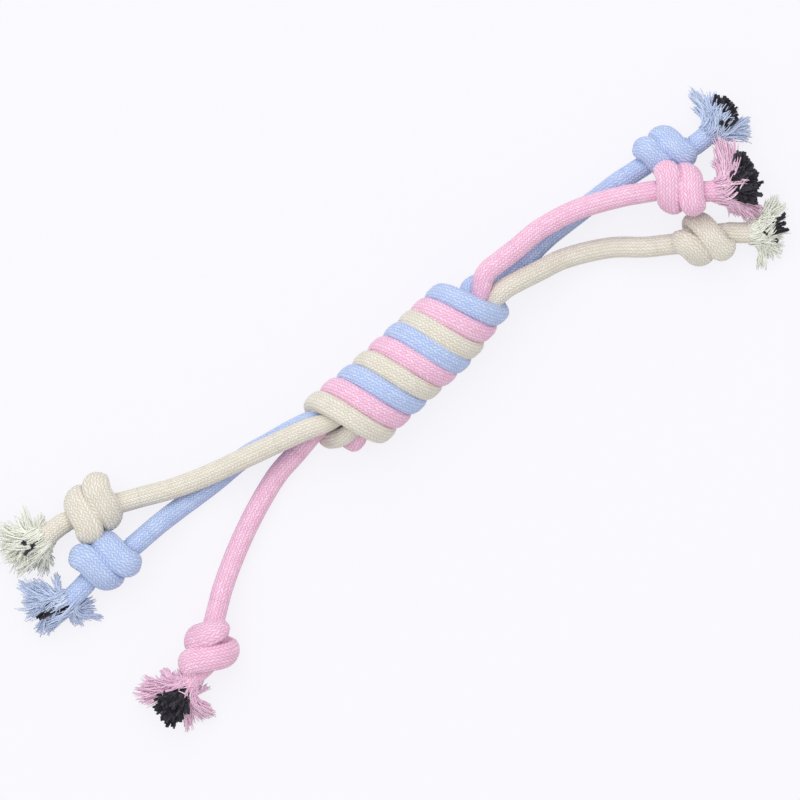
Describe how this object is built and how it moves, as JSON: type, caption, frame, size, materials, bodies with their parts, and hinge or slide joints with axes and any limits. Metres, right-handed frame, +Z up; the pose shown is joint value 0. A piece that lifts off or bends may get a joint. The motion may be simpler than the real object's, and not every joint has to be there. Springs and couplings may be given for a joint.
{
  "type": "rope dog toy",
  "caption": "Tug toy of braided cotton ropes wound together in a barrel knot, each free end tied in a knot and frayed to show its black core yarns.",
  "frame": {"origin": "centre of the bounding box in x and y, on the surface that the toy lies on", "axes": "+X along the barrel knot's axis, towards the end where pink's tail lies on top; +Z up from the surface; +Y across the toy, towards the side where the left cream tail goes"},
  "size_m": [0.3778, 0.1468, 0.042],
  "materials": {
    "cream_cover": "braided cotton, matt",
    "pink_cover": "braided cotton, matt",
    "blue_cover": "braided cotton, matt",
    "black_core": "loose yarn, matt"
  },
  "bodies": {
    "root": {"barrel_winding_cream": "cream_cover", "barrel_winding_pink": "pink_cover", "barrel_winding_blue": "blue_cover", "end_knot_left_cream": "cream_cover", "end_knot_right_cream": "cream_cover", "end_knot_left_pink": "pink_cover", "end_knot_right_pink": "pink_cover", "end_knot_left_blue": "blue_cover", "end_knot_right_blue": "blue_cover", "tail_left_cream": "cream_cover", "tail_core_left_cream": "black_core", "tail_right_cream": "cream_cover", "tail_core_right_cream": "black_core", "tail_left_pink": "pink_cover", "tail_core_left_pink": "black_core", "tail_right_pink": "pink_cover", "tail_core_right_pink": "black_core", "tail_left_blue": "blue_cover", "tail_core_left_blue": "black_core", "tail_right_blue": "blue_cover", "tail_core_right_blue": "black_core", "core_tuft_left_cream": "black_core", "core_tuft_right_cream": "black_core", "core_tuft_left_pink": "black_core", "core_tuft_right_pink": "black_core", "core_tuft_left_blue": "black_core", "core_tuft_right_blue": "black_core", "frayed_end_left_cream": "cream_cover", "frayed_end_right_cream": "cream_cover", "frayed_end_left_pink": "pink_cover", "frayed_end_right_pink": "pink_cover", "frayed_end_left_blue": "blue_cover", "frayed_end_right_blue": "blue_cover"}
  },
  "joints": []
}
